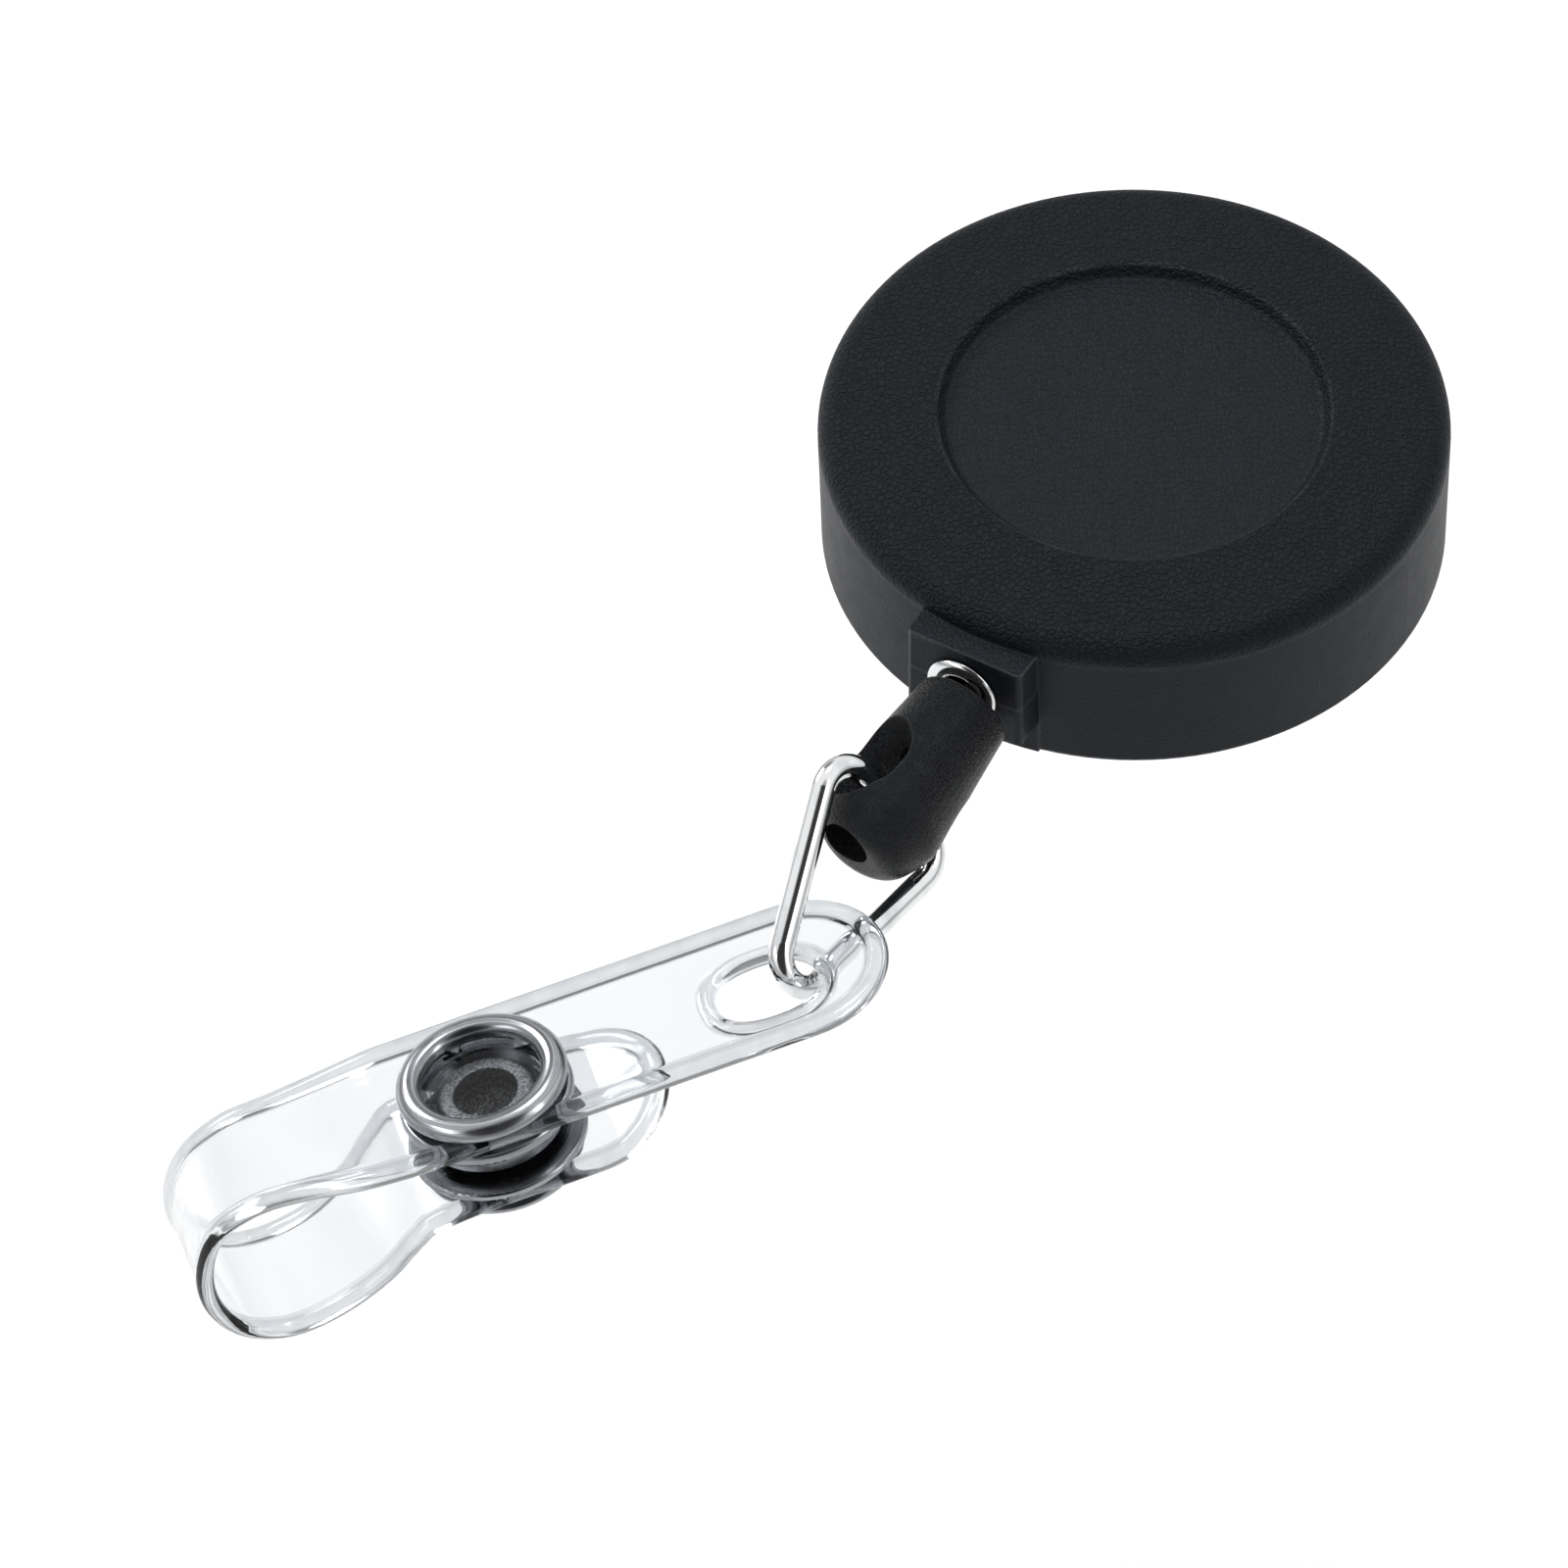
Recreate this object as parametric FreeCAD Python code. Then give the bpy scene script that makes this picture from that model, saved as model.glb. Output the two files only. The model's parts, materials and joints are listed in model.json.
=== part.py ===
"""Retractable badge reel: round housing with a spring-driven spool, a cord that ends in a
swivelling barrel, a wire ring, and a clear snap strap; a spring clip is riveted to the back.

Millimetres. The origin is the centre of the label recess floor, +Z points out of the face,
and the cord leaves the housing along -Y.
"""
import FreeCAD
import Part
import math
import os

Vector = FreeCAD.Vector
ORIGIN = Vector(0, 0, 0)
X_AXIS = Vector(1, 0, 0)
Y_AXIS = Vector(0, 1, 0)
Z_AXIS = Vector(0, 0, 1)

# ---------------------------------------------------------------- housing
housing_radius = 16.0
housing_base_radius = 15.75
crown_height = 0.65          # the face rises this much above the recess floor
rim_height = 0.2             # where the sloping face would meet the side wall
rim_rounding = 1.3
recess_radius = 9.5
recess_top_radius = 10.05
rear_z = -8.4                # outside of the rear cover
skirt_thickness = 1.25
ceiling_z = -1.3             # inside of the front cover
rear_floor_z = -7.1          # inside of the rear cover
seam_gap = 0.03

# ---------------------------------------------------------------- cord outlet
outlet_z = -3.6
outlet_half_width = 3.3
outlet_face_y = -17.3
outlet_top_z = -1.0
outlet_bottom_z = -6.2
outlet_inner_y = -13.7
eyelet_tube_radius = 1.4
eyelet_bore_radius = 0.95
eyelet_flange_radius = 2.05
eyelet_flange = 0.45

# ---------------------------------------------------------------- spool and spring
arbor_radius = 1.9
journal_radius = 1.6
journal_z = -3.3             # the arbor steps down to its journal here
arbor_top_z = -1.45
arbor_bore_radius = 0.95
arbor_slot_width = 0.5
running_clearance = 0.06
hub_radius = 2.7
hub_top_z = -1.75
hub_bottom_z = -3.2
flange_radius = 12.7
flange_thickness = 0.6
drum_radius = 7.6
drum_inner_radius = 7.0
drum_bottom_z = -6.4
cord_diameter = 0.8
channel_width = 1.8
cord_length = 660.0          # the whole cord: 600 mm of travel and the turns that stay on
spring_strip = 0.2
spring_pitch = 0.56
spring_turns = 8
peg_angles = (90, 210, 330)
peg_ring_radius = 13.85
peg_radius = 0.5
peg_post_radius = 1.0
peg_collar_radius = 0.8

# ---------------------------------------------------------------- belt clip
clip_width = 10.0
clip_thickness = 0.6
swivel_washer_thickness = 0.4
clip_gap = 0.05
rivet_radius = 0.8
rivet_hole_radius = 0.86

# ---------------------------------------------------------------- barrel, ring and strap
barrel_length = 10.1
barrel_narrow_radius = 2.5
barrel_wide_radius = 3.2
cord_hole_radius = 0.85
cross_hole_at = 5.5           # the near and far end of the slightly long cross-hole
cross_hole_far_at = 6.1
cross_hole_radius = 1.65
cross_hole_mouth_radius = 2.75
knot_step = 1.2
knot_cavity_radius = 1.25
knot_radius = 1.15
threading_hole_radius = 1.3
threading_hole_offset = 0.8   # the hole in the barrel's round end, off the axis
wire_radius = 0.66
ring_half_base = 4.55
ring_height = 15.0           # from the base to where the two legs would cross
ring_corner_radius = 1.7
ring_apex_radius = 1.5
strap_width = 9.7
strap_thickness = 0.95
strap_tip_at = -21.5         # strap lengths are measured from the snap, towards the loop
slot_at = -15.0
slot_offset = 0.8            # the slot is this far towards the strap's near edge
slot_length = 5.3
slot_width = 4.6
slot_rim_width = 0.7
slot_rim_height = 0.15
loop_starts_at = 4.8
layer_spacing = 3.9
tail_tip_at = -9.1
tail_lift = 1.2

# ---------------------------------------------------------------- snap
snap_offset = 0.6            # the snap sits this far towards the strap's near edge
snap_ring_outer = 4.45
snap_ring_inner = 3.1
snap_ring_height = 0.9
bottom_ring_outer = 4.15
bottom_ring_height = 0.6
stud_flange_radius = 4.6
prong_count = 5
prong_circle = 3.55
prong_width = 1.1
prong_thickness = 0.25
first_prong_angle = -3.6      # degrees round the snap, from the direction of the loop


# ================================================================ helpers
def chain_placement(point, yaw, droop, roll):
    """Local +X runs away from the housing: 0 yaw is along -Y, droop is downwards."""
    return FreeCAD.Placement(point, FreeCAD.Rotation(yaw - 90, droop, roll))


def rounded_corner(before, corner, after, radius):
    """Start, middle and end of the arc that rounds a corner."""
    back = (before - corner).normalize()
    ahead = (after - corner).normalize()
    half = back.getAngle(ahead) / 2
    reach = radius / math.tan(half)
    centre = corner + (back + ahead).normalize() * (radius / math.sin(half))
    middle = centre + (corner - centre).normalize() * radius
    return corner + back * reach, middle, corner + ahead * reach


def rounded_edges(points, radii, closed=False):
    """Straight runs through the points, joined by tangent arcs where the radius isn't 0."""
    count = len(points)
    stops = []
    for i in range(count):
        is_end = not closed and i in (0, count - 1)
        if is_end or radii[i] == 0:
            stops.append((points[i], None, points[i]))
        else:
            stops.append(rounded_corner(points[i - 1], points[i], points[(i + 1) % count], radii[i]))
    edges = []
    for i, (start, middle, end) in enumerate(stops):
        if middle is not None:
            edges.append(Part.Arc(start, middle, end).toShape())
        if i < count - 1 or closed:
            following = stops[(i + 1) % count][0]
            if end.distanceToPoint(following) > 1e-6:
                edges.append(Part.makeLine(end, following))
    return edges


def profile_face(corners, to_point):
    """A closed face from (a, b, rounding) corners; to_point turns a, b into a point."""
    points = [to_point(a, b) for a, b, _ in corners]
    radii = [rounding for _, _, rounding in corners]
    return Part.Face(Part.Wire(rounded_edges(points, radii, closed=True)))


def turned(corners):
    """A solid turned about Z from (radius, z, rounding) corners."""
    return profile_face(corners, lambda r, z: Vector(r, 0, z)).revolve(ORIGIN, Z_AXIS, 360)


def turned_about_x(corners):
    """A solid turned about X from (x, radius, rounding) corners."""
    return profile_face(corners, lambda x, r: Vector(x, r, 0)).revolve(ORIGIN, X_AXIS, 360)


def tube(inner, outer, low, high):
    return turned([(inner, low, 0), (outer, low, 0), (outer, high, 0), (inner, high, 0)])


def block(x_range, y_range, z_range):
    size = [high - low for low, high in (x_range, y_range, z_range)]
    return Part.makeBox(*size, Vector(x_range[0], y_range[0], z_range[0]))


def plate(outline, low, high):
    """A flat plate from (x, y, rounding) corners."""
    face = profile_face(outline, lambda x, y: Vector(x, y, low))
    return face.extrude(Vector(0, 0, high - low))


def swept_round(points, radii, radius, closed=False):
    """A round bar along straight runs and tangent arcs, built run by run."""
    solid = None
    for edge in rounded_edges(points, radii, closed):
        start = edge.valueAt(edge.FirstParameter)
        along = edge.tangentAt(edge.FirstParameter)
        section = Part.Face(Part.Wire(Part.makeCircle(radius, start, along)))
        if edge.Curve.TypeId == "Part::GeomCircle":
            turn = math.degrees(edge.LastParameter - edge.FirstParameter)
            piece = section.revolve(edge.Curve.Center, edge.Curve.Axis, turn)
        else:
            piece = section.extrude(edge.valueAt(edge.LastParameter) - start)
        solid = piece if solid is None else solid.fuse(piece)
    return solid.removeSplitter()


def save(shape, node, placement=None):
    """Write one node; every piece leaves here as clean solids in the housing's frame."""
    solids = shape.Solids
    result = solids[0] if len(solids) == 1 else Part.makeCompound(solids)
    if placement is not None:
        result = result.transformed(placement.toMatrix(), True)
    assert all(solid.isValid() and solid.Volume > 0 for solid in result.Solids), node
    result.exportStep("parts/" + node + ".step")
    return result


# ================================================================ housing
def outlet_bore(radius):
    length = 6
    return Part.makeCylinder(radius, length, Vector(0, outlet_inner_y + 1.5, outlet_z), Vector(0, -1, 0))


def outlet_block(low, high, back_y):
    half = outlet_half_width
    edge_rounding = 0.35
    corners = [
        (-half, back_y, 0),
        (-half, outlet_face_y, edge_rounding),
        (half, outlet_face_y, edge_rounding),
        (half, back_y, 0),
    ]
    return plate(corners, low, high)


def front_cover():
    skirt_inner = housing_radius - skirt_thickness
    shell = turned([
        (0, 0, 0),
        (recess_radius, 0, 0.25),
        (recess_top_radius, crown_height, 0.3),
        (housing_radius, rim_height, rim_rounding),
        (housing_base_radius, rear_z, 0.35),
        (skirt_inner, rear_z, 0),
        (skirt_inner, ceiling_z, 0.6),
        (0, ceiling_z, 0),
    ])
    cavity = Part.makeCylinder(skirt_inner, ceiling_z - rear_z, Vector(0, 0, rear_z))
    outlet = outlet_block(outlet_z, outlet_top_z, -housing_base_radius + 1).cut(cavity)
    notch_half = outlet_half_width + seam_gap
    notch = block((-notch_half, notch_half), (outlet_face_y - 1, -14), (rear_z - 1, outlet_z))
    body = shell.cut(notch).fuse(outlet)
    for angle in peg_angles:
        centre = peg_centre(angle)
        post = Part.makeCylinder(peg_post_radius, ceiling_z + 5.2, Vector(centre.x, centre.y, -5.2))
        body = body.fuse(post.common(Part.makeCylinder(skirt_inner + 0.3, 10, Vector(0, 0, -9))))
    for angle in peg_angles:
        centre = peg_centre(angle)
        body = body.cut(Part.makeCylinder(peg_radius, 3, Vector(centre.x, centre.y, -5.2)))
    return body.cut(outlet_bore(eyelet_tube_radius)).removeSplitter()


def peg_centre(angle):
    turn = math.radians(angle)
    return Vector(peg_ring_radius * math.cos(turn), peg_ring_radius * math.sin(turn), rear_floor_z)


def rear_cover():
    plate_radius = housing_radius - skirt_thickness - seam_gap
    body = turned([
        (rivet_hole_radius, rear_z, 0),
        (plate_radius, rear_z, 0.2),
        (plate_radius, rear_floor_z, 0),
        (arbor_radius, rear_floor_z, 0),
        (arbor_radius, journal_z, 0),
        (journal_radius, journal_z, 0),
        (journal_radius, arbor_top_z, 0.15),
        (arbor_bore_radius, arbor_top_z, 0),
        (arbor_bore_radius, rear_floor_z, 0),
        (rivet_hole_radius, rear_floor_z, 0),
    ])
    half_slot = arbor_slot_width / 2
    slot = block((-3, 3), (-half_slot, half_slot), (-5.9, 0))
    thrust_rib = tube(drum_inner_radius, drum_radius, rear_floor_z, drum_bottom_z - 0.1)
    tongue_top = outlet_block(outlet_bottom_z, outlet_z, outlet_inner_y)
    skirt_fill = block((-outlet_half_width, outlet_half_width), (-16.5, outlet_inner_y),
                       (rear_z, outlet_bottom_z))
    skirt_fill = skirt_fill.common(Part.makeCylinder(housing_base_radius, 10, Vector(0, 0, -10)))
    body = body.cut(slot).fuse([thrust_rib, tongue_top, skirt_fill])
    for angle in peg_angles:
        centre = peg_centre(angle)
        collar = Part.makeCylinder(peg_collar_radius, 1.85, centre)
        peg = Part.makeCylinder(peg_radius, 4.6, centre)
        body = body.fuse([collar, peg])
    return body.cut(outlet_bore(eyelet_tube_radius)).removeSplitter()


def outlet_eyelet():
    inner_end = -outlet_face_y - 2.4
    outer = -outlet_face_y
    shape = turned_about_x([
        (inner_end, eyelet_bore_radius, 0),
        (inner_end, eyelet_tube_radius, 0),
        (outer, eyelet_tube_radius, 0),
        (outer, eyelet_flange_radius, 0.2),
        (outer + eyelet_flange, eyelet_flange_radius - 0.1, 0.25),
        (outer + eyelet_flange, eyelet_bore_radius, 0.25),
    ])
    return shape, chain_placement(Vector(0, 0, outlet_z), 0, 0, 0)


# ================================================================ spool
def spool():
    web_top = outlet_z + channel_width / 2 + flange_thickness
    channel_top = outlet_z + channel_width / 2
    channel_bottom = outlet_z - channel_width / 2
    bore = journal_radius + running_clearance
    return turned([
        (bore, hub_bottom_z, 0),
        (hub_radius, hub_bottom_z, 0),
        (hub_radius, channel_top, 0),
        (drum_inner_radius, channel_top, 0),
        (drum_inner_radius, drum_bottom_z, 0),
        (drum_radius, drum_bottom_z, 0),
        (drum_radius, channel_bottom - 0.5, 0),
        (flange_radius, channel_bottom - 0.5, 0.2),
        (flange_radius, channel_bottom, 0.2),
        (drum_radius, channel_bottom, 0),
        (drum_radius, channel_top, 0),
        (flange_radius, channel_top, 0.2),
        (flange_radius, web_top, 0.25),
        (hub_radius, web_top, 0),
        (hub_radius, hub_top_z, 0),
        (bore, hub_top_z, 0),
    ])


def winding_radius():
    """Outside of the winding: each turn takes a square of the cord's diameter."""
    area = cord_length * cord_diameter ** 2 / channel_width
    return math.sqrt(drum_radius ** 2 + area / math.pi)


def cord_winding():
    half = channel_width / 2
    return turned([
        (drum_radius, outlet_z - half, 0),
        (winding_radius(), outlet_z - half, 0.4),
        (winding_radius(), outlet_z + half, 0.4),
        (drum_radius, outlet_z + half, 0),
    ])


def mainspring():
    """A flat strip wound as half circles whose centres step from side to side."""
    low = drum_bottom_z + 0.6
    high = hub_bottom_z - 0.15
    inner, outer = [], []
    first_radius = arbor_radius + 0.15
    for i in range(spring_turns * 2):
        radius = first_radius + spring_pitch / 2 * i
        side = 1 if i % 2 == 0 else -1
        centre = Vector(-side * spring_pitch / 4, 0, low)
        for edges, r in ((inner, radius), (outer, radius + spring_strip)):
            start = centre + Vector(side * r, 0, 0)
            middle = centre + Vector(0, side * r, 0)
            end = centre - Vector(side * r, 0, 0)
            edges.append(Part.Arc(start, middle, end).toShape())
    closing = [
        Part.makeLine(inner[0].firstVertex(True).Point, outer[0].firstVertex(True).Point),
        Part.makeLine(inner[-1].lastVertex(True).Point, outer[-1].lastVertex(True).Point),
    ]
    wire = Part.Wire(Part.__sortEdges__(inner + outer + closing))
    return Part.Face(wire).extrude(Vector(0, 0, high - low))


def spring_cover():
    return tube(arbor_radius + 0.2, drum_inner_radius, drum_bottom_z + 0.05, drum_bottom_z + 0.45)


def spool_washer():
    return tube(journal_radius + 0.1, hub_radius + 0.3, hub_top_z + 0.05, ceiling_z - 0.05)


# ================================================================ belt clip
swivel_washer_z = rear_z - swivel_washer_thickness
clip_plate_z = swivel_washer_z - clip_gap - clip_thickness
rivet_washer_z = clip_plate_z - clip_gap - 0.3


def clip_rivet():
    inner_head_top = rear_floor_z + 0.4
    head_low = rivet_washer_z - 0.75
    return turned([
        (0, head_low, 0),
        (1.7, head_low, 0.5),
        (2.2, rivet_washer_z, 0),
        (rivet_radius, rivet_washer_z, 0),
        (rivet_radius, rear_floor_z, 0),
        (arbor_bore_radius - 0.03, rear_floor_z, 0),
        (arbor_bore_radius - 0.03, inner_head_top, 0.12),
        (0, inner_head_top, 0),
    ])


def swivel_washer():
    return tube(rivet_hole_radius, 3.4, swivel_washer_z, rear_z)


def rivet_washer():
    return tube(rivet_hole_radius, 2.6, rivet_washer_z, rivet_washer_z + 0.3)


def belt_clip():
    """One bent spring strip: riveted plate, U bend and a gripping arm with a lip."""
    half = clip_thickness / 2
    plate_mid = clip_plate_z + half
    bend_y = 11.2
    arm_z = -16.6
    path = [
        Vector(0, -4.6, plate_mid),
        Vector(0, bend_y, plate_mid),
        Vector(0, bend_y, arm_z),
        Vector(0, -5.8, -12.3),
        Vector(0, -8.2, -14.2),
    ]
    radii = [0, 3.2, 3.2, 1.6, 0]
    strip = strip_face(path, radii, clip_thickness, X_AXIS).extrude(Vector(clip_width, 0, 0))
    strip.translate(Vector(-clip_width / 2, 0, 0))
    w = clip_width / 2
    plan = plate([(-w, -4.6, 2.6), (w, -4.6, 2.6), (w, 20, 0), (-w, 20, 0)], -10, -8)
    arm_plan = plate([(-w, -8.6, 2.2), (w, -8.6, 2.2), (w, 20, 0), (-w, 20, 0)], -20, -10)
    strip = strip.common(plan.fuse(arm_plan))
    return strip.cut(Part.makeCylinder(rivet_radius + running_clearance, 3, Vector(0, 0, -11)))


def strip_face(path, radii, thickness, normal):
    """The side view of a bent strip, as a face; normal is the direction across the strip."""
    sides = []
    for sign in (1, -1):
        points = []
        offset_radii = []
        for i, point in enumerate(path):
            before = (point - path[i - 1]).normalize() if i else None
            after = (path[i + 1] - point).normalize() if i < len(path) - 1 else None
            first = normal.cross(before if before is not None else after)
            second = normal.cross(after if after is not None else before)
            bisector = (first + second).normalize()
            reach = thickness / 2 / bisector.dot(first)
            points.append(point + bisector * reach * sign)
            turn = 0 if before is None or after is None else before.cross(after).dot(normal)
            inside = 1 if turn * sign > 0 else -1
            offset_radii.append(max(radii[i] - inside * thickness / 2, 0) if radii[i] else 0)
        sides.append((points, offset_radii))
    points = sides[0][0] + sides[1][0][::-1]
    rounding = sides[0][1] + sides[1][1][::-1]
    return Part.Face(Part.Wire(rounded_edges(points, rounding, closed=True)))


# ================================================================ cord end and barrel
barrel_start = Vector(0.8, -18.5, -3.45)
barrel_place = chain_placement(barrel_start, -4.0, 10.9, -52.0)


def on_barrel(x, y=0, z=0):
    return barrel_place.multVec(Vector(x, y, z))


def cord_lead():
    """Tangent off the winding, round the outlet's inner edge, through the eyelet to the knot."""
    level = outlet_z
    turn_point = Vector(0.1, outlet_inner_y + 0.3, level)
    reach = winding_radius() + cord_diameter / 2 + 0.03
    swing = math.acos(reach / abs(turn_point.y))
    angle = -math.pi / 2 + swing
    leaves_at = Vector(reach * math.cos(angle), reach * math.sin(angle), level)
    eyelet_point = Vector(0.45, outlet_face_y + 0.3, level)
    knot_point = on_barrel(knot_step - 0.02)
    route = [leaves_at, turn_point, eyelet_point, knot_point]
    bend_radius = 2.4 * cord_diameter
    return swept_round(route, [0, bend_radius, 8 * cord_diameter, 0], cord_diameter / 2)


def cord_knot():
    """Two fat turns pulled tight, seated on the step inside the barrel."""
    start = knot_step + 0.1
    turn = knot_radius * 0.5
    shape = turned_about_x([
        (start, 0, 0),
        (start, knot_radius, turn),
        (start + 1.15, knot_radius, 0.2),
        (start + 1.25, knot_radius - 0.2, 0),
        (start + 1.35, knot_radius, 0.2),
        (start + 2.3, knot_radius - 0.1, turn),
        (start + 2.3, 0, 0),
    ])
    return shape, barrel_place


def end_barrel():
    solid = turned_about_x([
        (0, 0, 0),
        (0, barrel_narrow_radius, 0.3),
        (barrel_length - 2.4, barrel_wide_radius + 0.08, 2.0),
        (barrel_length, 2.3, 1.6),
        (barrel_length, 0, 0),
    ])
    cord_hole = Part.makeCylinder(cord_hole_radius, 4, Vector(-1, 0, 0), X_AXIS)
    cavity_length = cross_hole_at - knot_step
    cavity = Part.makeCylinder(knot_cavity_radius, cavity_length, Vector(knot_step, 0, 0), X_AXIS)
    threading_start = Vector(cross_hole_at, -threading_hole_offset, 0)
    threading_hole = Part.makeCylinder(threading_hole_radius, barrel_length, threading_start, X_AXIS)
    cross_hole = flared_hole(cross_hole_at).fuse(flared_hole(cross_hole_far_at))
    return solid.cut(cord_hole.fuse([cavity, threading_hole, cross_hole])).removeSplitter(), barrel_place


def flared_hole(at):
    """A hole across the barrel whose two mouths flare open."""
    waist_end = 1.3
    mouth_end = 3.5
    profile = profile_face([
        (0, -mouth_end, 0),
        (cross_hole_mouth_radius, -mouth_end, 0),
        (cross_hole_radius, -waist_end, 2.0),
        (cross_hole_radius, waist_end, 2.0),
        (cross_hole_mouth_radius, mouth_end, 0),
        (0, mouth_end, 0),
    ], lambda r, y: Vector(at + r, y, 0))
    return profile.revolve(Vector(at, 0, 0), Y_AXIS, 360)


# ================================================================ wire ring
ring_start = on_barrel(cross_hole_far_at + 0.35, -0.2)
ring_place = chain_placement(ring_start, 2.5, 13.6, -51.0)
ring_apex_at = ring_height - ring_apex_radius * (
    1 / math.sin(math.atan(ring_half_base / ring_height)) - 1)


def wire_ring():
    corners = [Vector(0, -ring_half_base, 0), Vector(ring_height, 0, 0), Vector(0, ring_half_base, 0)]
    radii = [ring_corner_radius, ring_apex_radius, ring_corner_radius]
    return swept_round(corners, radii, wire_radius, closed=True), ring_place


# ================================================================ strap
ring_apex = ring_place.multVec(Vector(ring_apex_at, 0, 0))
strap_yaw = -43.6
strap_droop = 10.8
strap_roll = 7.9
strap_turn = chain_placement(ORIGIN, strap_yaw, strap_droop, strap_roll)
apex_on_strap = Vector(-16.3, 0.4, -0.2)   # where the ring's apex crosses the strap
strap_start = ring_apex - strap_turn.multVec(apex_on_strap)
strap_place = chain_placement(strap_start, strap_yaw, strap_droop, strap_roll)
strap_half = strap_width / 2


def strap_outline(tip_at, end_at, low, high):
    """A strip with a rounded tip at one end and a square cut at the other."""
    tip_rounding = strap_half * 0.98
    return plate([
        (tip_at, -strap_half, tip_rounding),
        (end_at, -strap_half, 0),
        (end_at, strap_half, 0),
        (tip_at, strap_half, tip_rounding),
    ], low, high)


def slot_shape(grow, low, high):
    x = slot_length / 2 + grow
    y = slot_width / 2 + grow
    return plate([
        (slot_at - x, slot_offset - y, y * 0.98),
        (slot_at + x, slot_offset - y, y * 0.98),
        (slot_at + x, slot_offset + y, y * 0.98),
        (slot_at - x, slot_offset + y, y * 0.98),
    ], low, high)


def strap_upper():
    half = strap_thickness / 2
    body = strap_outline(strap_tip_at, loop_starts_at, -half, half)
    rim = slot_shape(slot_rim_width, -half, half + slot_rim_height)
    body = body.fuse(rim).cut(slot_shape(0, -2, 2))
    return body.cut(prongs(-half, half)).removeSplitter(), strap_place


def strap_bend():
    """The teardrop loop; the far edge hangs lower than the near edge, so the loop is twisted."""
    wires = []
    for side, crest, drop in ((strap_half, 1.7, 0.35), (-strap_half, -0.55, 2.3)):
        path = [
            (loop_starts_at, 0.0, 0),
            (6.1, 0.0, 3.0),
            (10.4, crest, 5.0),
            (16.5, crest + 0.1, 3.9),
            (16.5, -6.9 - drop, 3.9),
            (10.2, -6.5 - drop, 4.0),
            (5.9, -layer_spacing, 1.8),
            (loop_starts_at, -layer_spacing, 0),
        ]
        points = [Vector(s, side, h) for s, h, _ in path]
        radii = [rounding for _, _, rounding in path]
        wires.append(strip_face(points, radii, strap_thickness, Y_AXIS).OuterWire)
    return Part.makeLoft(wires, True, True), strap_place


def strap_tail():
    """The lower layer: flat under the snap, then lifting a little towards its round tip."""
    path = [
        Vector(loop_starts_at, -strap_half, -layer_spacing),
        Vector(-5.7, -strap_half, -layer_spacing),
        Vector(tail_tip_at - 1, -strap_half, -layer_spacing + tail_lift),
    ]
    strip = strip_face(path, [0, 8, 0], strap_thickness, Y_AXIS).extrude(Vector(0, strap_width, 0))
    body = strip.common(strap_outline(tail_tip_at, loop_starts_at, -6, 0))
    half = strap_thickness / 2
    return body.cut(prongs(-layer_spacing - half, -layer_spacing + half)), strap_place


# ================================================================ snap
def prongs(low, high):
    """The prongs' cross-section between two heights."""
    pieces = []
    for i in range(prong_count):
        across = (-prong_width / 2, prong_width / 2)
        blade = block((prong_circle - prong_thickness, prong_circle), across, (low, high))
        blade.rotate(ORIGIN, Z_AXIS, first_prong_angle + 360 / prong_count * i)
        blade.translate(Vector(0, snap_offset, 0))
        pieces.append(blade)
    return Part.makeCompound(pieces)


def on_snap(shape):
    shape.translate(Vector(0, snap_offset, 0))
    return shape


def snap_ring(base, direction, outer, height):
    """A rolled open ring that stands on the strap's face."""
    top = base + direction * height
    ring = turned([
        (snap_ring_inner, base, 0),
        (snap_ring_inner, top, 0.3),
        (outer, top, 0.42),
        (outer, base, 0.35),
    ])
    return on_snap(ring)


def snap_top_ring():
    base = strap_thickness / 2
    blades = prongs(-base - 0.35, base + 0.3)
    ring = snap_ring(base, 1, snap_ring_outer, snap_ring_height)
    return ring.fuse(blades.Solids).removeSplitter(), strap_place


def snap_socket():
    """Flanged cup under the upper layer: the prongs are curled into its flange."""
    top = -strap_thickness / 2
    mouth = top - 1.95
    cup = turned([
        (1.65, top, 0.1),
        (2.35, top, 0.25),
        (2.6, top - 0.3, 0),
        (3.1, top - 0.36, 0),
        (3.1, top, 0),
        (4.45, top, 0.2),
        (4.5, top - 0.6, 0.2),
        (3.75, top - 0.65, 0.1),
        (3.6, mouth, 0.2),
        (2.6, mouth, 0.1),
        (2.6, mouth + 0.18, 0),
        (3.2, mouth + 0.18, 0),
        (3.2, top - 0.75, 0),
        (1.65, top - 0.6, 0),
    ])
    return on_snap(cup).cut(prongs(top - 0.35, top + 1)), strap_place


def socket_spring():
    """Sprung wire in the cup: two straight sides grip the stud's neck."""
    radius = 0.2
    height = -strap_thickness / 2 - 1.52
    half_length = 2.3
    half_gap = 1.98
    corners = [
        Vector(-half_length, -half_gap, height),
        Vector(half_length, -half_gap, height),
        Vector(half_length, half_gap, height),
        Vector(-half_length, half_gap, height),
    ]
    return on_snap(swept_round(corners, [1.0] * 4, radius, closed=True)), strap_place


def snap_stud():
    base = -layer_spacing + strap_thickness / 2
    shape = turned([
        (0, base, 0),
        (stud_flange_radius, base, 0.12),
        (stud_flange_radius, base + 0.4, 0.15),
        (2.1, base + 0.4, 0.1),
        (1.72, base + 0.7, 0),
        (1.72, base + 1.57, 0.1),
        (2.1, base + 1.73, 0.1),
        (1.9, base + 1.95, 0.15),
        (0, base + 1.95, 0),
    ])
    hollow = Part.makeCylinder(1.2, 1.2, Vector(0, 0, base))
    slots = prongs(base - 1, base + 0.3)
    return on_snap(shape.cut(hollow)).cut(slots), strap_place


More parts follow.
